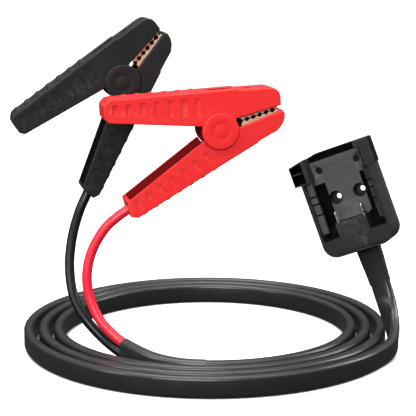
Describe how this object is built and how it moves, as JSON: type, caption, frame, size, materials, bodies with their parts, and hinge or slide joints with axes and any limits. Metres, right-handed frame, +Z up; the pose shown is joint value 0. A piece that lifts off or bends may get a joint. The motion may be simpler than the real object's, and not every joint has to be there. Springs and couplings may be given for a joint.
{
  "type": "jump start lead set",
  "caption": "Jump start lead set: insulated spring clamps with toothed copper jaws on short leads, a flat twin cable in a loose coil, and a slide-on battery dock.",
  "frame": {"origin": "centre of the coil on the surface it stands on", "axes": "+Z up, +X to the right seen from the front, +Y to the rear"},
  "size_m": [0.3105, 0.31, 0.2597],
  "materials": {
    "red_grip_plastic": "semi-matte moulded",
    "black_grip_plastic": "semi-matte moulded",
    "copper": "bright copper plate",
    "copper_braid": "woven fine wire",
    "zinc_steel": "zinc plated",
    "spring_steel": "drawn wire",
    "dock_plastic": "fine textured moulded",
    "terminal_block_plastic": "moulded",
    "nickel_contact": "nickel plated",
    "red_lead_jacket": "glossy silicone jacket",
    "black_lead_jacket": "glossy silicone jacket",
    "gland_rubber": "soft",
    "flat_cable_jacket": "satin extruded jacket",
    "shrink_sleeve": "satin heat-shrunk"
  },
  "bodies": {
    "root": {"red_lower_shell": "red_grip_plastic", "red_pivot_pin": "zinc_steel", "red_front_cap": "red_grip_plastic", "red_back_cap": "red_grip_plastic", "red_torsion_spring": "spring_steel", "red_lower_jaw": "copper", "red_lower_jaw_screws": "zinc_steel", "red_jaw_braid": "copper_braid", "red_cable_lug": "copper", "black_lower_shell": "black_grip_plastic", "black_pivot_pin": "zinc_steel", "black_front_cap": "black_grip_plastic", "black_back_cap": "black_grip_plastic", "black_torsion_spring": "spring_steel", "black_lower_jaw": "copper", "black_lower_jaw_screws": "zinc_steel", "black_jaw_braid": "copper_braid", "black_cable_lug": "copper", "dock_housing": "dock_plastic", "dock_back_cover": "dock_plastic", "dock_terminal_block": "terminal_block_plastic", "dock_positive_blade": "nickel_contact", "dock_negative_blade": "nickel_contact", "dock_positive_wire": "red_lead_jacket", "dock_negative_wire": "black_lead_jacket", "dock_cable_gland": "gland_rubber", "dock_screws": "zinc_steel", "flat_cable_coil": "flat_cable_jacket", "flat_cable_riser": "flat_cable_jacket", "y_sleeve": "shrink_sleeve", "red_lead": "red_lead_jacket", "black_lead": "black_lead_jacket"},
    "red_upper": {"red_upper_shell": "red_grip_plastic", "red_upper_jaw": "copper", "red_upper_jaw_screws": "zinc_steel"},
    "black_upper": {"black_upper_shell": "black_grip_plastic", "black_upper_jaw": "copper", "black_upper_jaw_screws": "zinc_steel"}
  },
  "joints": [
    {"name": "red_clamp_hinge", "type": "hinge", "parent": "root", "child": "red_upper", "pos_m": [0.006, -0.045, 0.178], "axis": [0.2079, -0.9781, 0], "range_deg": [0, 32], "stiffness_Nm_per_rad": 0.9, "springref_deg": -34.38, "deforming": ["red_torsion_spring", "red_jaw_braid"]},
    {"name": "black_clamp_hinge", "type": "hinge", "parent": "root", "child": "black_upper", "pos_m": [-0.069, -0.01, 0.211], "axis": [0.2079, -0.9781, 0], "range_deg": [0, 32], "stiffness_Nm_per_rad": 0.9, "springref_deg": -34.38, "deforming": ["black_torsion_spring", "black_jaw_braid"]}
  ]
}
